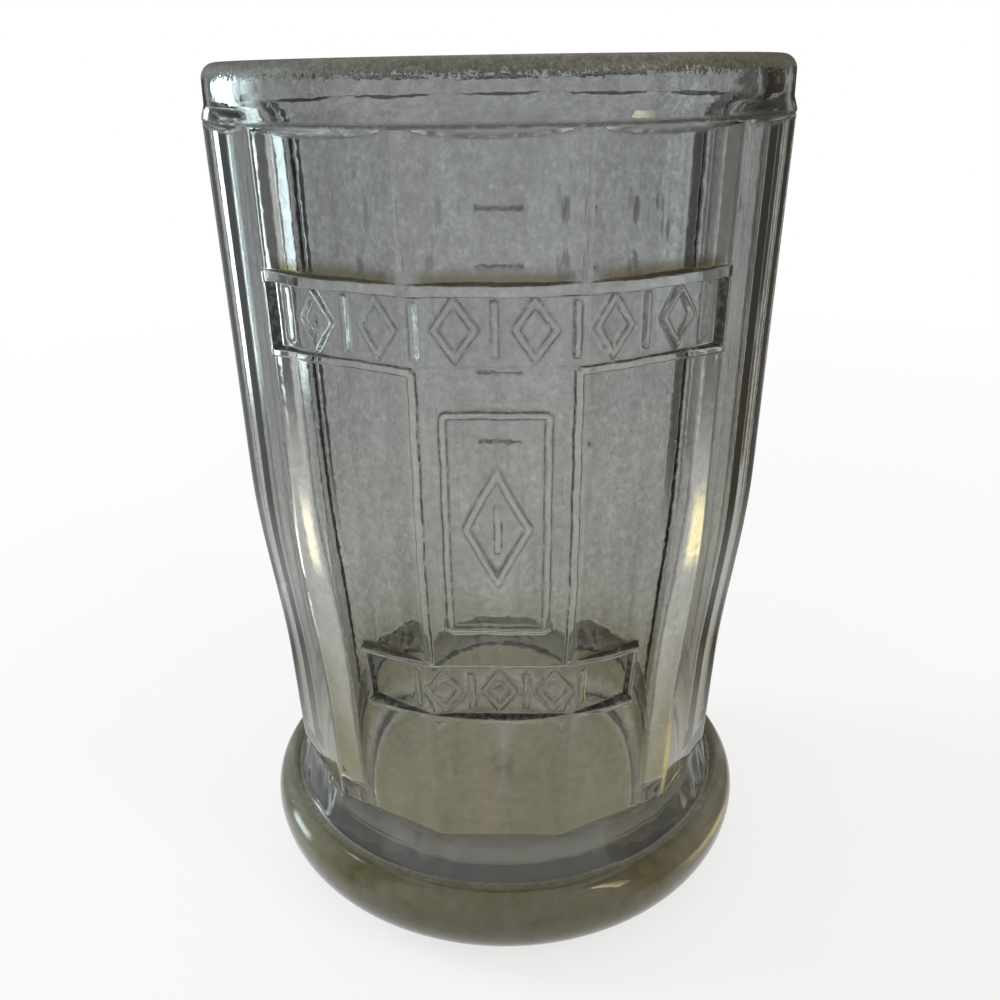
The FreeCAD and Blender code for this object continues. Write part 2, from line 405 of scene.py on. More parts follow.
# ---------------------------------------------------------------- columns of the mesh
# Places over half a panel, in degrees, closer together towards the edge between two panels.
PLAIN_SPREAD = (0.0, 5.0, 9.5, 12.6, 13.9, 14.3, 14.6)
RIBBED_SPREAD = (0.0, 5.0, 10.0, 13.6, 14.3, 14.7)

# millimetres between columns and between rows
FINE_STEP = 0.44                # in the head and the base, both ways
COLUMN_STEP, COLUMN_ROW_STEP = 0.42, 0.68
PLAIN_ROW_STEP = 1.5
COLLAR_ROW_STEP = 0.22
LEAST_STEP, LEAST_ROW_STEP = 0.03, 0.09
EDGE_REACH, WINDOW_EDGE_REACH = 0.34, 0.3   # of the finer steps at the edges of ribs
EDGE_COUNT = 6
ROUND_COUNT, NECK_COUNT = 120, 180


def panel_columns(spread):
    """Azimuths spread alike over each panel, with one on each edge between two panels."""
    local = sorted({-a for a in spread} | set(spread)) + [HALF_PANEL_DEG]
    panels = range(-PANEL_COUNT // 2, PANEL_COUNT // 2)
    return np.radians(np.array(sorted(panel * PANEL_DEG + a for panel in panels for a in local)))


def round_columns(count):
    return np.arange(count) * TURN / count - math.pi


def near(marks, reach=EDGE_REACH):
    """Fine steps to both sides of the places where a rib begins or ends."""
    return np.concatenate([mark + np.linspace(-reach, reach, EDGE_COUNT) for mark in marks])


def one_turn(azimuths):
    """The same azimuths within the one turn that starts at the panel columns' first edge."""
    start = math.radians(-180.0 - HALF_PANEL_DEG) + 0.001
    return (azimuths - start) % TURN + start


def merge(values, least):
    """Sorted values with those that lie too close together left out."""
    kept = []
    for value in sorted(values):
        if not kept or value - kept[-1] > least:
            kept.append(value)
    return np.array(kept)


def fine_columns(reach, step, rib_halves, radius):
    """Panel columns with an even fine part round the front and finer steps at the ribs' edges.

    Reach and step are millimetres along the surface, and the ribs' half widths are degrees.
    """
    dash_ends = np.radians([sign * end for sign in (-1, 1) for end in DASH_END_DEG])
    even = np.arange(-reach / radius, reach / radius + 1e-6, step / radius)
    middles = [math.radians(half) * radius for half in rib_halves]
    edges = [middle + sign * RIB_W / 2 for middle in middles for sign in (-1, 1)]
    marks = near([sign * edge for edge in edges for sign in (-1, 1)]) / radius
    even = np.array([a for a in even if np.min(np.abs(marks - a)) > 0.6 * step / radius])
    columns = np.concatenate([panel_columns(RIBBED_SPREAD), dash_ends, even, marks])
    return merge(one_turn(columns), LEAST_STEP / radius)


PANEL_COLS = panel_columns(PLAIN_SPREAD)
HEAD_COLS = fine_columns(42.5, FINE_STEP, (HEAD_HALF, COLUMN_HALF), HEAD_REF)
COLUMN_COLS = fine_columns(11.4, COLUMN_STEP, (COLUMN_HALF,), COLUMN_REF)
BASE_COLS = fine_columns(27.4, FINE_STEP, (BASE_HALF, COLUMN_HALF), BASE_REF)
ROUND_COLS = round_columns(ROUND_COUNT)
NECK_COLS = merge(one_turn(np.concatenate([PANEL_COLS, round_columns(NECK_COUNT)])), 0.004)


# ---------------------------------------------------------------- rows of the mesh
def fine_rows(low, high, step, edges, reach=EDGE_REACH):
    """Even heights with finer steps at the edges of ribs."""
    return merge(np.concatenate([np.arange(low, high, step), near(edges, reach)]), LEAST_ROW_STEP)


def body_rows():
    """Heights of the rings up the body, each with its columns."""
    window_halves = (WINDOW_HALF_H, WINDOW_HALF_H - WINDOW_STROKE)
    base_edges = (BASE_BOTTOM, BASE_BOTTOM + RIB_W, BASE_TOP - RIB_W, BASE_TOP)
    window_edges = [WINDOW_MIDDLE + sign * half for sign in (-1, 1) for half in window_halves]
    head_edges = (HEAD_BOTTOM, HEAD_BOTTOM + RIB_W, HEAD_TOP - HEAD_RIB_W, HEAD_TOP)
    in_base = fine_rows(BASE_BOTTOM - 0.8, BASE_TOP + 1.3, FINE_STEP, base_edges)
    in_column = (BASE_TOP + 1.7, HEAD_BOTTOM - 1.2, COLUMN_ROW_STEP, window_edges)
    in_head = fine_rows(HEAD_BOTTOM - 0.8, HEAD_TOP + 2.0, FINE_STEP, head_edges)
    parts = (
        (np.arange(PANEL_BOTTOM[1] + 2.5, BASE_BOTTOM - 1.0, PLAIN_ROW_STEP), PANEL_COLS),
        (in_base, BASE_COLS),
        (fine_rows(*in_column, WINDOW_EDGE_REACH), COLUMN_COLS),
        (in_head, HEAD_COLS),
        (np.arange(HEAD_TOP + 2.6, BODY_TOP - 3.4, PLAIN_ROW_STEP), PANEL_COLS),
        (np.arange(BODY_TOP - 3.0, BODY_TOP - 0.35, COLLAR_ROW_STEP), PANEL_COLS),
    )
    return [(z, cols) for heights, cols in parts for z in heights]


FOOT_SOFT, UPPER_SOFT = 0.35, 0.22      # how much the profiles' corners are rounded
FOOT_ARC_COUNT, RIM_ARC_COUNT, CORNER_ARC_COUNT, FLARE_COUNT = 20, 16, 30, 12


def arc_points(centre, radius, start_deg, end_deg, count):
    turns = np.radians(np.linspace(start_deg, end_deg, count))
    return [(centre[0] + radius * math.cos(t), centre[1] + radius * math.sin(t)) for t in turns]


def soften(points, sigma, longest=2.4, turn_limit=7.0, shortest=0.12):
    """Rounds the corners of a line in the (radius, height) plane and keeps few points of it."""
    points = np.array(points, float)
    length = np.concatenate([[0], np.cumsum(np.hypot(*np.diff(points, axis=0).T))])
    step = 0.05
    s = np.arange(0, length[-1], step)
    dense = np.stack([np.interp(s, length, points[:, k]) for k in (0, 1)], 1)
    reach = int(4 * sigma / step)
    kernel = np.exp(-0.5 * (np.arange(-reach, reach + 1) * step / sigma) ** 2)
    kernel /= kernel.sum()
    first, last = dense[0], dense[-1]
    before = 2 * first - dense[1:reach + 1][::-1]
    after = 2 * last - dense[-reach - 1:-1][::-1]
    padded = np.concatenate([before, dense, after])
    smooth = np.stack([np.convolve(padded[:, k], kernel, "valid") for k in (0, 1)], 1)
    smooth[0], smooth[-1] = points[0], points[-1]
    heading = np.unwrap(np.arctan2(*np.diff(smooth, axis=0).T[::-1]))
    kept = [0]
    for i in range(1, len(smooth) - 1):
        far = (i - kept[-1]) * step
        turned = abs(heading[i] - heading[kept[-1]])
        if far >= longest or (turned > math.radians(turn_limit) and far > shortest):
            kept.append(i)
    kept.append(len(smooth) - 1)
    return smooth[kept]


def foot_profile():
    """From the middle of the underside out over the resting ring and the bulge to the neck."""
    under = FOOT_R - FOOT_WIDEST
    bevel = math.radians(FOOT_BEVEL_DEG)
    bevel_top = (under + FOOT_WIDEST * math.sin(bevel), FOOT_WIDEST * (1 - math.cos(bevel)))
    resting = bevel_top[0] - bevel_top[1]
    inner = resting - RESTING_WIDTH
    points = [(0.0, KICK_UP), (inner - KICK_UP_SLOPE, KICK_UP), (inner, 0.0), (resting, 0.0)]
    points += arc_points((under, FOOT_WIDEST), FOOT_WIDEST, -FOOT_BEVEL_DEG, 0.0, FOOT_ARC_COUNT)
    for turn in np.radians(np.linspace(0.0, 90.0, FOOT_ARC_COUNT))[1:]:
        radius = CREASE[0] + (FOOT_R - CREASE[0]) * math.cos(turn)
        points.append((radius, FOOT_WIDEST + (CREASE[1] - FOOT_WIDEST) * math.sin(turn)))
    points.append((FLAT_SHARE * PANEL_BOTTOM[0] - NECK_INSET, PANEL_BOTTOM[1] - 0.1))
    return soften(points, FOOT_SOFT)


def upper_profile():
    """From the collar's lower edge over the rim, down the inside and to the middle of the floor."""
    back = 0.5
    points = [
        (COLLAR_EDGE_R - back * math.cos(UNDERCUT), BODY_TOP - back * math.sin(UNDERCUT)),
        (COLLAR_EDGE_R, BODY_TOP),
    ]
    for rise in np.linspace(0.0, 1.0, FLARE_COUNT)[1:]:
        swell = 0.5 + 0.5 * math.cos(math.pi * rise)
        radius = COLLAR_R + (COLLAR_EDGE_R - COLLAR_R) * swell
        points.append((radius, BODY_TOP + COLLAR_FLARE * rise))
    points.append((COLLAR_R, HEIGHT - RIM_ROUND))
    rim = (COLLAR_R - RIM_ROUND, HEIGHT - RIM_ROUND)
    points += arc_points(rim, RIM_ROUND, 0.0, 90.0, RIM_ARC_COUNT)[1:]
    top = HEIGHT - MOUTH_ROUND
    mouth = side(top) - WALL
    points += arc_points((mouth + MOUTH_ROUND, top), MOUTH_ROUND, 90.0, 180.0, RIM_ARC_COUNT)
    corner_top = CAVITY_FLOOR + CORNER_ROUND
    for z in np.arange(top - 1.0, corner_top, -PLAIN_ROW_STEP):
        points.append((side(z) - WALL, z))
    corner = side(corner_top) - WALL - CORNER_ROUND
    points += arc_points((corner, corner_top), CORNER_ROUND, 0.0, -90.0, CORNER_ARC_COUNT)
    points += [(MARK_R, CAVITY_FLOOR), (0.0, CAVITY_FLOOR - MARK_DEPTH)]
    return soften(points, UPPER_SOFT)


# ---------------------------------------------------------------- the jar's mesh
class Rings:
    """Stacks rings of vertices and joins each to the one before it.

    Each vertex carries marks from 0 to 1, which the glass material reads as attributes; several of
    them carry painted shade, painted highlights or a painted table colour, some mixed with dirt.
    """

    def __init__(self):
        self.points = []
        self.faces = []
        self.marks = {"grime": [], "neck": [], "haze": [], "crest": [], "ledge": [], "lens": []}
        self.count = 0
        self.last = None

    def add(self, points, **marks):
        self.points.append(points)
        for name, parts in self.marks.items():
            parts.append(np.broadcast_to(marks.get(name, 0.0), len(points)))
        self.count += len(points)

    def pole(self, z):
        """A single point on the axis, joined to the last ring if there is one."""
        index = self.count
        self.add(np.array([[0.0, 0.0, z]]))
        if self.last is not None:
            cols, start, _ = self.last
            n = len(cols)
            self.faces += [(start + j, start + (j + 1) % n, index) for j in range(n)]
        self.last = (None, index, None)

    def ring(self, cols, radius, z, **marks):
        radius = np.broadcast_to(radius, cols.shape)
        z = np.broadcast_to(z, cols.shape)
        ring = (cols, self.count, radius)
        self.add(np.stack([radius * np.sin(cols), -radius * np.cos(cols), z], 1), **marks)
        if self.last[0] is None:
            self.join_pole(self.last[1], ring)
        elif len(self.last[0]) == len(cols) and np.allclose(self.last[0], cols):
            self.join_alike(self.last, ring)
        else:
            self.join_unlike(self.last, ring)
        self.last = ring

    def join_pole(self, pole, ring):
        cols, start, _ = ring
        n = len(cols)
        self.faces += [(pole, start + (j + 1) % n, start + j) for j in range(n)]

    def join_alike(self, low, high):
        """Joins rings with the same columns, cutting each cell along a slanting rib."""
        (cols, sa, ra), (_, sb, rb) = low, high
        n = len(cols)
        rising = np.abs(ra - np.roll(rb, -1)) <= np.abs(np.roll(ra, -1) - rb)
        for j in range(n):
            k = (j + 1) % n
            if rising[j]:
                self.faces += [(sa + j, sa + k, sb + k), (sa + j, sb + k, sb + j)]
            else:
                self.faces += [(sa + j, sa + k, sb + j), (sa + k, sb + k, sb + j)]

    def join_unlike(self, low, high):
        """Joins rings with different columns, always stepping on to the nearer next column."""
        (a, sa, _), (b, sb, _) = low, high
        na, nb = len(a), len(b)
        past_end = 99.0
        a = np.append(a, [a[0] + TURN, past_end])
        b = np.append(b, [b[0] + TURN, past_end])
        i = j = 0
        while i < na or j < nb:
            if a[i + 1] <= b[j + 1]:
                self.faces.append((sa + i % na, sa + (i + 1) % na, sb + j % nb))
                i += 1
            else:
                self.faces.append((sa + i % na, sb + (j + 1) % nb, sb + j % nb))
                j += 1


OUTSIDE_R = 44.0                # the foot's outside is past this radius
NECK_R = 45.0                   # and the neck past this one, above the crease
NECK_STEPS = 4
CONE_REACH = 4.0                # how far down the collar's underside can meet the flats


def neck_steps(points):
    """The foot's profile with more rings up the neck, for its uneven surface."""
    rows = []
    below = points[0]
    for r, z in points:
        steps = NECK_STEPS if z > CREASE[1] and r > NECK_R else 1
        for part in range(1, steps + 1):
            rows.append(tuple(b + (v - b) * part / steps for b, v in zip(below, (r, z))))
        below = (r, z)
    return rows


def add_foot(rings):
    """The underside, the foot and the rough neck."""
    profile = foot_profile()
    rings.pole(profile[0][1])
    for r, z in neck_steps(profile[1:]):
        cols = ROUND_COLS if z < CREASE[1] or r < NECK_R else NECK_COLS
        outside = float(r > OUTSIDE_R)
        if cols is NECK_COLS:
            height = np.full_like(cols, z)
            rough = inside(z, CREASE[1] + 0.8, PANEL_BOTTOM[1] - 1.2, 0.8)
            r = r + rough * (sum(waves(cols, height, *wave) for wave in NECK_WAVES) - NECK_CUT)
        on_neck = smoothstep(CREASE[1] - 0.3, CREASE[1] + 0.4, z) * outside
        # painted: an olive-brown over the foot's outside that stands for the table seen through it,
        # thinner at the sides as seen from the front
        sideways = smoothstep(0.55, 0.95, np.abs(np.sin(cols))) * smoothstep(3.0, 9.0, z)
        haze = outside * (0.97 - 0.18 * sideways) * (1 - on_neck)
        # dirt and painted shade in the crease between the foot and the neck
        crevice = 0.5 * bump_at(z, CREASE[1], 0.45) * outside
        rings.ring(cols, r, z, grime=crevice, neck=on_neck, haze=haze)


def add_panel_start(rings):
    """The soft edge where the panels start over the neck."""
    # height over the start, how far the edge is rounded back, and its dirt and painted shade
    edge = ((0.0, 0.35, 0.6), (0.1, 0.12, 0.5), (0.4, 0.0, 0.1), (1.2, 0.0, 0.0))
    for rise, back, dirty in edge:
        z = PANEL_BOTTOM[1] + rise
        flat = panelled(PANEL_COLS, np.full_like(PANEL_COLS, z))
        rings.ring(PANEL_COLS, flat - back, z, grime=dirty)


def add_body(rings):
    """The panels with their relief, and the scallops where the collar's underside meets them."""
    cone_slope = 1.0 / math.tan(UNDERCUT)
    for z, cols in body_rows():
        height = np.full_like(cols, z)
        flat = panelled(cols, height)
        raised = relief(cols, height)
        cone = COLLAR_EDGE_R - (BODY_TOP - z) * cone_slope
        # painted shade: a dark line along the lower edge of the scallops, on the front half only
        crease = bump_at(flat, cone, 0.55) * smoothstep(0.35, 0.9, side(z) - flat) * facing(cols)
        # painted shade: a dark line down the edge between panels at +15 degrees, above the head
        seam = 0.5 * (z > HEAD_TOP) * (np.abs(np.degrees(cols) - HALF_PANEL_DEG) < 0.2)
        # dirt and painted shade along the relief, with the painted lines above
        dirty = np.maximum(np.maximum(grime(cols, height), seam), crease)
        # painted highlight: the crests of the relief are lightened
        crest = smoothstep(0.28, 0.50, raised) * (1 - dirty)
        # painted shade over the scallops, on the front half only
        lens = smoothstep(-0.05, 0.15, cone - flat) * facing(cols)
        fade = smoothstep(*OUTSIDE_WAVES_START, z) * (1 - smoothstep(*OUTSIDE_WAVES_END, z))
        radius = flat + raised + fade * waves(cols, height, *OUTSIDE_WAVES)
        if z > BODY_TOP - CONE_REACH:
            radius = smooth_max(radius, cone, COLLAR_BLEND)
        rings.ring(cols, radius, z, grime=dirty, crest=crest, ledge=ledge(cols, height), lens=lens)


def add_collar_and_cavity(rings):
    """The collar's edge, the rim and the smooth round inside."""
    past_rim = False
    for r, z in upper_profile():
        past_rim = past_rim or z > HEIGHT - 0.05
        if r < 0.01:
            rings.pole(z)
            continue
        in_cavity = past_rim and z < HEIGHT - 1.0
        cols = ROUND_COLS if in_cavity else PANEL_COLS
        if in_cavity:
            uneven = waves(cols, np.full_like(cols, z), *INSIDE_WAVES)
            fade = smoothstep(*INSIDE_WAVES_START, z)
            r = r + uneven * fade * (1 - smoothstep(*INSIDE_WAVES_END, z))
        # painted shade along the collar's lower edge, on the front half only
        edge = 0.0 if past_rim else bump_at(z, BODY_TOP, 0.5)
        rings.ring(cols, r, z, grime=edge * 0.9 * facing(cols), lens=edge * facing(cols))


def jar_mesh():
    rings = Rings()
    add_foot(rings)
    add_panel_start(rings)
    add_body(rings)
    add_collar_and_cavity(rings)
    mesh = bpy.data.meshes.new("jar_glass")
    mesh.from_pydata((np.concatenate(rings.points) * MM).tolist(), [], rings.faces)
    mesh.update()
    mesh.polygons.foreach_set("use_smooth", [True] * len(mesh.polygons))
    for name, parts in rings.marks.items():
        set_attribute(mesh, name, np.concatenate(parts))
    return mesh


def set_attribute(mesh, name, values):
    attribute = mesh.attributes.new(name, "FLOAT", "POINT")
    attribute.data.foreach_set("value", values.astype(np.float32))


# ---------------------------------------------------------------- materials
class Nodes:
    """Short ways to add nodes to a tree and join them. Colours are written with three numbers."""

    def __init__(self, tree):
        self.tree = tree
        tree.nodes.clear()

    def put(self, socket, value):
        if isinstance(value, bpy.types.NodeSocket):
            self.tree.links.new(value, socket)
        elif socket.type == "RGBA":
            socket.default_value = (*value, 1.0)
        else:
            socket.default_value = value

    def add(self, kind, inputs=(), **settings):
        node = self.tree.nodes.new(kind)
        for name, value in settings.items():
            setattr(node, name, value)
        for key, value in dict(inputs).items():
            self.put(node.inputs[key], value)
        return node

    def math(self, operation, first, *others):
        """One value worked out from two or more, from left to right."""
        for other in others:
            first = self.add("ShaderNodeMath", {0: first, 1: other}, operation=operation).outputs[0]
        return first

    def product(self, *values):
        return self.math("MULTIPLY", *values)

    def largest(self, *values):
        return self.math("MAXIMUM", *values)

    def mix(self, factor, a, b):
        node = self.add("ShaderNodeMix", data_type="RGBA")
        for socket, value in ((node.inputs[0], factor), (node.inputs[6], a), (node.inputs[7], b)):
            self.put(socket, value)
        return node.outputs[2]

    def scale(self, value, low, high, to_low=0.0, to_high=1.0):
        """Carries low to high over to to_low to to_high, and stays within them."""
        inputs = {0: value, 1: low, 2: high, 3: to_low, 4: to_high}
        return self.add("ShaderNodeMapRange", inputs, clamp=True).outputs[0]

    def stretched(self, vector, scale):
        return self.add("ShaderNodeMapping", {"Vector": vector, "Scale": scale}).outputs[0]

    def distance(self, vector):
        return self.add("ShaderNodeVectorMath", {0: vector}, operation="LENGTH").outputs["Value"]

    def noise(self, vector, scale, detail=2.0, rough=0.5):
        inputs = {"Vector": vector, "Scale": scale, "Detail": detail, "Roughness": rough}
        return self.add("ShaderNodeTexNoise", inputs).outputs["Fac"]

    def blend(self, share, first, second):
        """Shader that goes from the first to the second."""
        inputs = {0: share, 1: first.outputs[0], 2: second.outputs[0]}
        return self.add("ShaderNodeMixShader", inputs).outputs[0]

    def attribute(self, name):
        return self.add("ShaderNodeAttribute", attribute_name=name).outputs["Fac"]

    def ramp(self, factor, stops):
        node = self.add("ShaderNodeValToRGB", {"Fac": factor})
        while len(node.color_ramp.elements) < len(stops):
            node.color_ramp.elements.new(0.5)
        for element, (position, colour) in zip(node.color_ramp.elements, stops):
            element.position = position
            element.color = (*colour, 1.0)
        return node.outputs["Color"]

    def seen_directly(self):
        """1 for rays from the camera, a reflection or the glass, 0 for rays that gather light."""
        path = self.add("ShaderNodeLightPath").outputs
        kinds = ("Camera", "Glossy", "Transmission")
        return self.largest(*(path[f"Is {kind} Ray"] for kind in kinds))


def new_material(name):
    material = bpy.data.materials.new(name)
    material.use_nodes = True
    return material, Nodes(material.node_tree)


WHITE = (1.0, 1.0, 1.0)

# the glass: what it takes from light inside it, and its tint by share of the height, partly its own
# colour and partly painted: the olive low down and the cool grey higher up stand for the table and
# the room seen through the glass
GLASS_IOR = 1.5
GLASS_BODY = {"Color": (0.64, 0.61, 0.51), "Density": 40.0}
GLASS_BUMP = {"Strength": 0.25, "Distance": 0.00015}
GLASS_TINTS = (
    (0.00, (0.60, 0.59, 0.53)),
    (0.14, (0.60, 0.59, 0.53)),
    (0.28, (0.61, 0.61, 0.58)),
    (0.50, (0.60, 0.61, 0.60)),
    (0.80, (0.525, 0.54, 0.555)),
    (1.00, (0.50, 0.515, 0.53)),
)

# what lies on the glass, together with painted highlights, painted shade and the painted table colour
SMEAR = (0.36, 0.37, 0.36)
PATINA_DARK = (0.30, 0.31, 0.31)
PATINA_PALE = (0.82, 0.84, 0.84)
STAIN = (0.10, 0.10, 0.10)
# painted highlight: a pale ring on the cavity's floor
HALO = (0.62, 0.58, 0.42)
SPOT = (0.24, 0.27, 0.28)
# painted shade over the scallops
LENS = (0.085, 0.088, 0.085)
# dirt and painted shade over the upper ribs
LEDGE = (0.115, 0.083, 0.014)
# painted highlight on the crests of the relief
CREST = (0.85, 0.87, 0.85)
NECK = (0.050, 0.054, 0.056)
# painted olive-brown over the foot, for the table seen through it
FOOT = (0.066, 0.053, 0.014)
# dirt and painted shade in lines along the relief, its creases and the scallops
DIRT = (0.030, 0.028, 0.020)
CRUST_PALE, CRUST_PIT = (0.20, 0.187, 0.142), (0.066, 0.061, 0.045)
RIM_DARK, RIM_PALE, RIM_SPECK = (0.062, 0.056, 0.040), (0.190, 0.180, 0.142), (0.030, 0.026, 0.016)

# scale, detail and roughness of the noises
PATINA_NOISE = (650.0, 6.0, 0.75)
SPECK_NOISE = (1500.0, 3.0, 0.7)
DIRT_NOISE = (700.0, 3.0, 0.6)
CLOUD_NOISE = (260.0, 4.0, 0.6)
SMEAR_NOISE = (130.0, 4.0, 0.6)
PEEL_NOISE = (620.0, 1.0)

# columns of stains on the far wall, as shares of the way across it: where each begins and ends
STAIN_COLUMNS = ((0.20, 0.22, 0.25, 0.27), (0.73, 0.75, 0.80, 0.82), (0.84, 0.86, 0.90, 0.92))
STAIN_HALF_WIDTH = 0.05


def under_rim(drop):
    """A height given in millimetres under the rim, as a share of the jar's height."""
    return (HEIGHT - drop) / HEIGHT


def rim_layer(n, height, specks, patina):
    """Worn and grimy rim, with a ragged lower edge of dark specks: its share and its colour."""
    ragged = n.math("ADD", height, n.scale(specks, 0.3, 0.7, -0.0075, 0.0065))
    share = n.scale(ragged, under_rim(2.6), under_rim(2.45))
    crust = n.mix(n.scale(specks, 0.36, 0.60), CRUST_PALE, CRUST_PIT)
    dull = n.mix(n.scale(patina, 0.35, 0.65), RIM_DARK, RIM_PALE)
    dull = n.mix(n.scale(specks, 0.40, 0.62, 0.0, 0.55), dull, RIM_SPECK)
    return share, n.mix(n.scale(height, under_rim(2.2), under_rim(0.6)), crust, dull)


def stains(n, place, axes):
    """Soft upright ovals in a few columns on the far wall, between two heights."""
    across = n.scale(axes["X"], -STAIN_HALF_WIDTH, STAIN_HALF_WIDTH)
    stops = []
    for column in STAIN_COLUMNS:
        stops += [(stop, (level,) * 3) for stop, level in zip(column, (0, 1, 1, 0))]
    band = n.product(n.scale(axes["Z"], 0.118, 0.126), n.scale(axes["Z"], 0.152, 0.146))
    far = n.product(band, n.scale(axes["Y"], 0.020, 0.024))
    drops = n.stretched(place, (1.0, 0.0, 0.36))
    cells = n.add("ShaderNodeTexVoronoi", {"Vector": drops, "Scale": 400.0}).outputs
    chance = n.add("ShaderNodeSeparateColor", {0: cells["Color"]}).outputs[0]
    oval = n.product(n.scale(cells["Distance"], 0.48, 0.32), n.scale(chance, 0.42, 0.46))
    return n.product(far, n.ramp(across, stops), oval)


def floor_marks(n, place, axes):
    """A pale ring of painted highlight and a dark spot inside it, on the floor of the cavity."""
    from_axis = n.distance(n.stretched(place, (1.0, 1.0, 0.0)))
    on_floor = n.scale(axes["Z"], 0.0150, 0.0140)
    halo = n.product(on_floor, n.scale(from_axis, 0.014, 0.006))
    return halo, n.product(on_floor, n.scale(from_axis, 0.0055, 0.0040))


def glass_material():
    material, n = new_material("pressed_glass")
    place = n.add("ShaderNodeTexCoord").outputs["Object"]
    axes = n.add("ShaderNodeSeparateXYZ", {0: place}).outputs
    height = n.scale(axes["Z"], 0.0, HEIGHT * MM)
    patina = n.noise(place, *PATINA_NOISE)
    specks = n.noise(place, *SPECK_NOISE)

    # dirt and painted shade in broken lines along the relief, the creases and the scallops
    speckle = n.scale(n.noise(place, *DIRT_NOISE), 0.35, 0.52, 0.45, 1.0)
    dirt = n.product(n.attribute("grime"), speckle)
    # the neck is tinted a dark bluish grey, and the foot's outer faces take a painted olive-brown
    # that stands for the table seen through it
    cloud = n.scale(n.noise(place, *CLOUD_NOISE), 0.3, 0.7, 0.92, 1.0)
    neck = n.product(n.attribute("neck"), cloud)
    outside = n.math("SUBTRACT", 1.0, n.add("ShaderNodeNewGeometry").outputs["Backfacing"])
    haze = n.product(n.attribute("haze"), cloud, outside)
    # faint upright smears over the whole glass, and a patina that the foot doesn't have
    drawn = n.noise(n.stretched(place, (1.0, 1.0, 0.3)), *SMEAR_NOISE)
    smear = n.scale(drawn, 0.42, 0.66, 0.0, 0.5)
    worn = n.scale(height, 0.10, 0.25, 0.0, 0.6)
    halo, spot = floor_marks(n, place, axes)
    rim, rim_colour = rim_layer(n, height, specks, patina)

    layers = (
        (smear, SMEAR),
        (n.product(n.scale(patina, 0.50, 0.72), worn), PATINA_DARK),
        (n.product(n.scale(patina, 0.50, 0.28), worn), PATINA_PALE),
        (n.product(stains(n, place, axes), 0.9), STAIN),
        # painted highlight ring, painted shade over the scallops, dirt and painted shade on the
        # ledges, painted highlights on the crests
        (n.product(halo, 0.5), HALO),
        (n.product(spot, 0.7), SPOT),
        (n.product(n.attribute("lens"), 0.9), LENS),
        (n.product(n.attribute("ledge"), 0.95), LEDGE),
        (n.product(n.attribute("crest"), 0.7), CREST),
        (n.product(neck, 0.85), NECK),
        (haze, FOOT),
        (dirt, DIRT),
        (rim, rim_colour),
    )
    # the glass's tint by height, with the table and the room seen through it painted in
    tint = n.ramp(height, GLASS_TINTS)
    for share, colour in layers:
        tint = n.mix(share, tint, colour)

    opaque = n.largest(n.product(dirt, 0.35), n.product(rim, 0.85), haze, n.product(neck, 0.5))
    peel = n.noise(place, *PEEL_NOISE)
    grain = n.math("ADD", n.product(specks, rim), n.product(peel, 0.28))
    bump = n.add("ShaderNodeBump", {"Height": grain, **GLASS_BUMP})
    glass = n.add("ShaderNodeBsdfPrincipled", {
        "Base Color": tint,
        "Roughness": n.product(n.largest(dirt, rim), 0.45),
        "IOR": GLASS_IOR,
        "Transmission Weight": n.math("SUBTRACT", 1.0, opaque),
        "Normal": bump.outputs["Normal"],
    })
    absorb = n.add("ShaderNodeVolumeAbsorption", GLASS_BODY)
    n.add("ShaderNodeOutputMaterial", {"Surface": glass.outputs[0], "Volume": absorb.outputs[0]})
    return material


def floor_material():
    """Pale paper that keeps the jar's shadow nearby and turns white further out."""
    material, n = new_material("floor_paper")
    paper = n.add("ShaderNodeBsdfDiffuse", {"Color": (0.86, 0.86, 0.86)})
    shine = n.add("ShaderNodeEmission", {"Color": WHITE})
    away = n.distance(n.add("ShaderNodeTexCoord").outputs["Object"])
    share = n.product(n.seen_directly(), n.scale(away, 0.12, 0.60, 0.72, 1.0))
    n.add("ShaderNodeOutputMaterial", {"Surface": n.blend(share, paper, shine)})
    return material


def card_material(name, colour):
    """Glows, as far as the card's soft attribute says."""
    material, n = new_material(name)
    glow = n.add("ShaderNodeEmission", {"Color": colour})
    nothing = n.add("ShaderNodeBsdfTransparent")
    n.add("ShaderNodeOutputMaterial", {"Surface": n.blend(n.attribute("soft"), nothing, glow)})
    return material


# ---------------------------------------------------------------- studio
FLOOR_HALF = 6.0
WORLD_LIGHT = 0.7               # strength of the white world for rays that gather light


def make_floor():
    corners = [(x * FLOOR_HALF, y * FLOOR_HALF, 0) for x, y in ((-1, -1), (1, -1), (1, 1), (-1, 1))]
    mesh = bpy.data.meshes.new("floor")
    mesh.from_pydata(corners, [], [(0, 1, 2, 3)])
    mesh.materials.append(floor_material())
    add_object("floor", mesh)


def make_world():
    world = bpy.data.worlds.new("studio")
    bpy.context.scene.world = world
    world.use_nodes = True
    n = Nodes(world.node_tree)
    level = n.scale(n.seen_directly(), 0.0, 1.0, WORLD_LIGHT, 1.0)
    air = n.add("ShaderNodeBackground", {"Color": WHITE, "Strength": level})
    n.add("ShaderNodeOutputWorld", {"Surface": air.outputs[0]})


def around(azimuth, radius, height):
    """A place round the jar, by its azimuth in degrees."""
    turn = math.radians(azimuth)
    return Vector((math.sin(turn) * radius, -math.cos(turn) * radius, height))


def make_lamp(name, place, target, size, watts, colour):
    data = bpy.data.lights.new(name, "AREA")
    data.shape = "RECTANGLE"
    data.size, data.size_y = size
    data.energy = watts
    data.color = colour
    lamp = add_object(name, data)
    lamp.location = place
    lamp.rotation_euler = (Vector(target) - place).to_track_quat("-Z", "Y").to_euler()
    lamp.visible_transmission = False


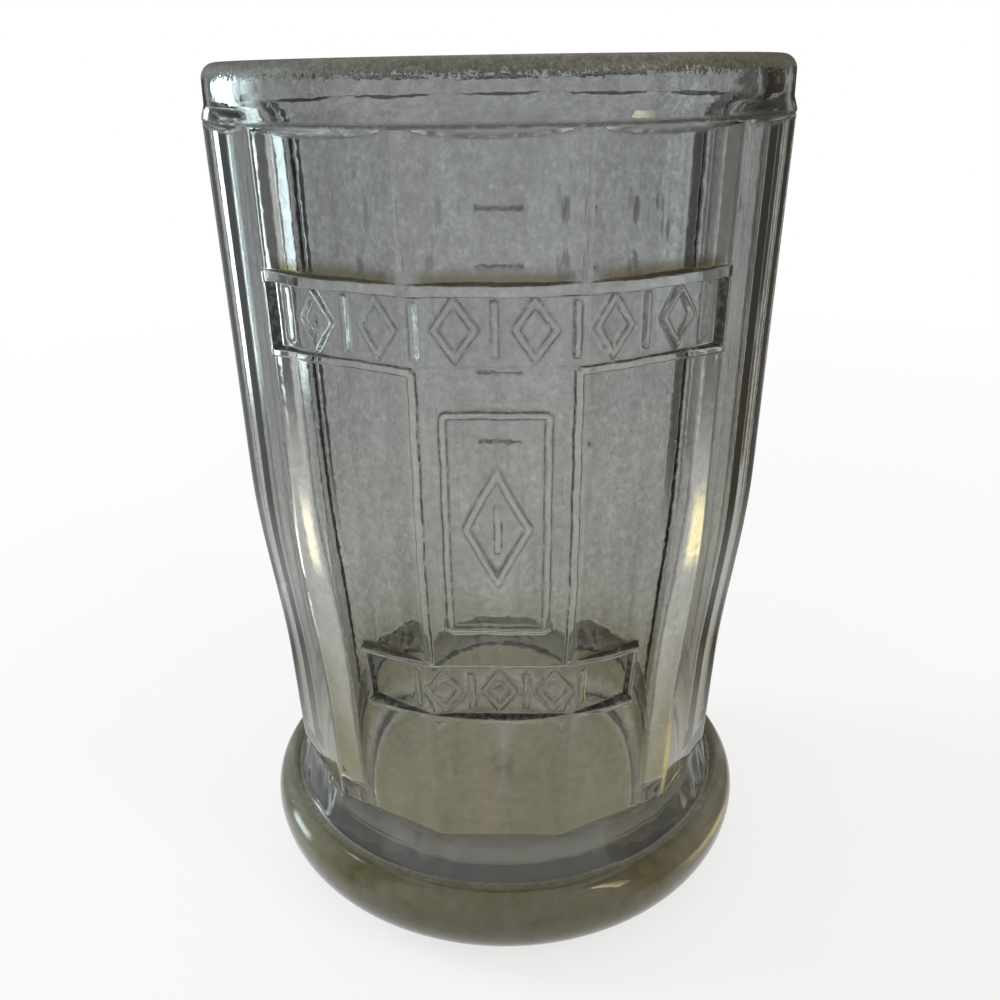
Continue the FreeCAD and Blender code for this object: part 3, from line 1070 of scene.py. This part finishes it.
CARD_ROWS, CARD_COLUMNS = 25, 17
CARD_LIFT = 0.14                # least share of a card's height over which its ends fade
TABLE_LIFT = 0.7                # the same for the outer end of a card with no soft sides


def card_softness(up, across, fade):
    """How much of the glow is left at each point; a card that goes all round has no soft sides."""
    lift = max(CARD_LIFT, fade)
    outer_lift = lift if fade else TABLE_LIFT
    ends = smoothstep(0.0, lift, up) * smoothstep(1.0, 1.0 - outer_lift, up)
    sides = np.ones(len(across))
    if fade:
        sides = smoothstep(0.0, fade, across) * smoothstep(1.0, 1.0 - fade, across)
    return np.outer(ends, sides)


def make_card(name, start, end, profile, colour, mirrored, fade):
    """Curved glowing card that only the glass shows, through it or mirrored in it."""
    profile = np.array(profile)
    length = np.concatenate([[0], np.cumsum(np.hypot(*np.diff(profile, axis=0).T))])
    up = np.linspace(0.0, 1.0, CARD_ROWS)
    across = np.linspace(0.0, 1.0, CARD_COLUMNS)
    radius = np.interp(up * length[-1], length, profile[:, 0])
    height = np.interp(up * length[-1], length, profile[:, 1])
    places = [(start + (end - start) * u, r, z) for r, z in zip(radius, height) for u in across]
    points = [tuple(around(*place)) for place in places]
    rows, columns = range(CARD_ROWS - 1), range(CARD_COLUMNS - 1)
    corners = [row * CARD_COLUMNS + column for row in rows for column in columns]
    faces = [(a, a + 1, a + 1 + CARD_COLUMNS, a + CARD_COLUMNS) for a in corners]
    mesh = bpy.data.meshes.new(name)
    mesh.from_pydata(points, [], faces)
    mesh.materials.append(card_material(name, colour))
    set_attribute(mesh, "soft", card_softness(up, across, fade).ravel())
    card = add_object(name, mesh)
    card.visible_camera = False
    card.visible_diffuse = False
    card.visible_shadow = False
    card.visible_glossy = mirrored
    card.visible_transmission = not mirrored


REACH = 0.15                    # radius of the upright cards
PANE_REACH = 0.148
ON_FLOOR = 0.0006
THROUGH, MIRRORED = False, True


def wall(low, high, radius=REACH):
    return [(radius, low), (radius, high)]


def table(inner, outer):
    return [(inner, ON_FLOOR), (outer, ON_FLOOR)]


FLAG = table(0.060, REACH) + wall(0.002, 0.32)
LOW_PANE = table(0.118, PANE_REACH) + [(PANE_REACH, 0.050)]
HIGH_PANE = wall(0.145, 0.200, PANE_REACH)

# name, azimuths in degrees, profile as radii and heights, colour, how it's seen, share that fades
CARDS = (
    # the table top that the glass shows, outside the foot and under it
    ("table_round", -180.0, 180.0, table(0.050, 0.125), (0.55, 0.51, 0.37), THROUGH, 0.0),
    ("table_under", -180.0, 180.0, table(0.040, 0.0), (0.54, 0.50, 0.35), THROUGH, 0.01),
    # left: a cool window between dark bars, with a pale sill below it
    ("left_bar", -138.5, -133.5, wall(0.002, 0.25), (0.02, 0.02, 0.02), THROUGH, 0.2),
    ("left_window", -134.0, -101.0, wall(0.066, 0.22), (5.2, 6.2, 6.4), THROUGH, 0.12),
    ("left_post", -103.0, -88.0, wall(0.050, 0.25), (0.22, 0.23, 0.23), THROUGH, 0.2),
    ("left_sill", -100.0, -84.0, wall(0.002, 0.052), (2.4, 2.3, 1.9), THROUGH, 0.3),
    # right: a brown cupboard behind a grey post, with a golden sill below
    ("right_bar", 131.5, 142.0, wall(0.002, 0.25), (0.22, 0.22, 0.20), THROUGH, 0.2),
    ("right_cupboard", 102.5, 130.5, wall(0.080, 0.27), (0.012, 0.009, 0.005), THROUGH, 0.08),
    ("right_drawer", 104.0, 129.0, wall(0.045, 0.096), (0.15, 0.09, 0.045), THROUGH, 0.2),
    ("right_post", 86.0, 103.0, wall(0.045, 0.25), (0.32, 0.31, 0.29), THROUGH, 0.2),
    ("right_sill", 87.0, 105.0, wall(0.002, 0.052), (2.4, 2.15, 1.4), THROUGH, 0.3),
    # grey flags that take the white out of what the sides mirror
    ("left_flag", -126.0, -44.0, FLAG, (0.24, 0.26, 0.27), MIRRORED, 0.1),
    ("left_edge", -176.0, -122.0, FLAG, (0.08, 0.08, 0.07), MIRRORED, 0.1),
    ("right_flag", 44.0, 126.0, FLAG, (0.16, 0.15, 0.12), MIRRORED, 0.1),
    ("right_edge", 122.0, 176.0, FLAG, (0.07, 0.065, 0.05), MIRRORED, 0.1),
    # the window again, and a golden glow, as the foot and the collar mirror them
    ("pane_low", -97.0, -79.0, LOW_PANE, (6.5, 7.6, 7.7), MIRRORED, 0.3),
    ("pane_middle", -108.0, -82.0, wall(0.020, 0.095), (6.5, 7.6, 7.7), MIRRORED, 0.3),
    ("glow_low", 56.0, 92.0, table(0.066, 0.105), (3.0, 2.45, 0.9), MIRRORED, 0.3),
    ("pane_high", -92.0, -76.0, HIGH_PANE, (4.4, 5.2, 5.3), MIRRORED, 0.45),
)

# name, place, target, size, watts, colour
LAMPS = (
    ("window", around(-100.0, 0.95, 0.40), (0.0, 0.0, 0.09), (0.30, 0.8), 7.0, (0.80, 0.95, 1.0)),
    ("fill", around(56.0, 0.80, 0.72), (0.0, 0.0, 0.03), (0.14, 0.5), 1.5, (1.0, 0.86, 0.50)),
)

# ---------------------------------------------------------------- the scene
make_camera()
make_floor()
make_world()
for lamp in LAMPS:
    make_lamp(*lamp)
for card in CARDS:
    make_card(*card)

jar = add_object("jar_glass", jar_mesh())
jar.data.materials.append(glass_material())
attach(jar, "root")
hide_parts("glass_jar")

bpy.context.scene.view_settings.view_transform = "Standard"
